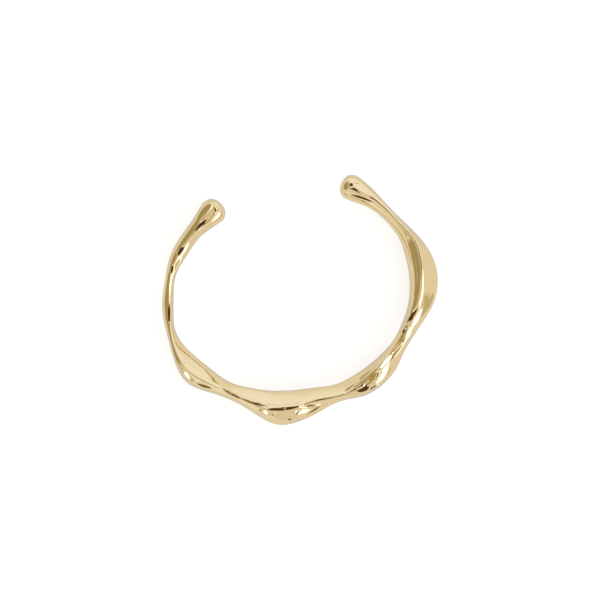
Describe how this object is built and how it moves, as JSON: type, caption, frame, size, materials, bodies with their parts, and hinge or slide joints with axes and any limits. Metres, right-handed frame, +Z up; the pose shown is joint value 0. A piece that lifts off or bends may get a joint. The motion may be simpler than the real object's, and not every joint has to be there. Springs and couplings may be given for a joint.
{
  "type": "cuff bracelet",
  "caption": "Open rigid cuff bracelet cast in one piece: a wavy, molten-looking polished bar with rounded ends and a gap to pass the wrist through.",
  "frame": {"origin": "centre of the bounding box in plan, at the height of the table that the cuff lies on", "axes": "+Z up along the wrist's axis, +Y towards the gap between the two ends, +X across the wrist"},
  "size_m": [0.0668, 0.0572, 0.008],
  "materials": {
    "gold": "polished, with fine wear"
  },
  "bodies": {
    "root": {"cuff": "gold"}
  },
  "joints": []
}
